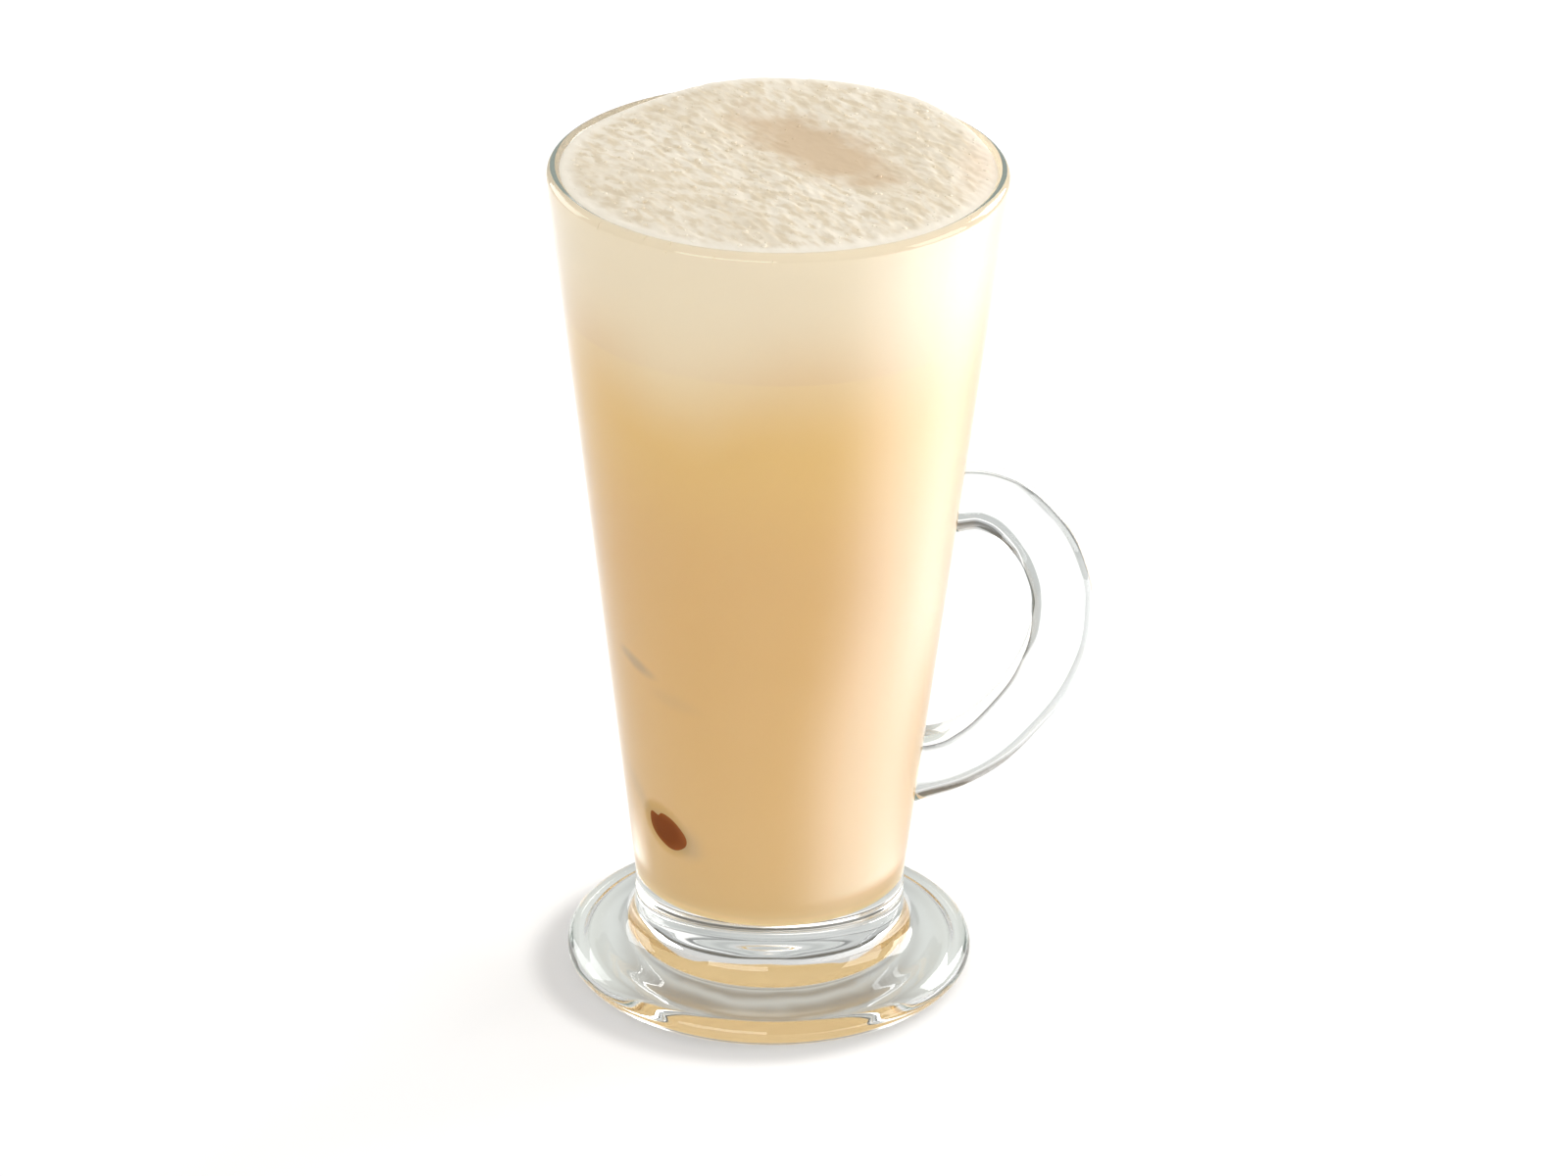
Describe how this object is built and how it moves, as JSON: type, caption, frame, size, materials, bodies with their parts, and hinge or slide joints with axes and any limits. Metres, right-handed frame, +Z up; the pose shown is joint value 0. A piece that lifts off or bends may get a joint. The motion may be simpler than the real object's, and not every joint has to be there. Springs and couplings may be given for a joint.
{
  "type": "iced cappuccino in a handled glass",
  "caption": "Milky iced coffee under a head of cold milk froth, in a tall tapered glass with a round foot and a loop handle.",
  "frame": {"origin": "middle of the flat underside of the glass's foot, on the bowl's axis", "axes": "+Z up along the bowl's axis, +X towards the handle, whose loop lies in the XZ plane"},
  "size_m": [0.0966, 0.0798, 0.1551],
  "materials": {
    "clear_glass": "clear, fire polished",
    "milky_coffee": "wet, cloudy",
    "milk_froth": "fine foam with small bubbles"
  },
  "bodies": {
    "root": {"glass": "clear_glass", "coffee": "milky_coffee", "milk_froth": "milk_froth"}
  },
  "joints": []
}
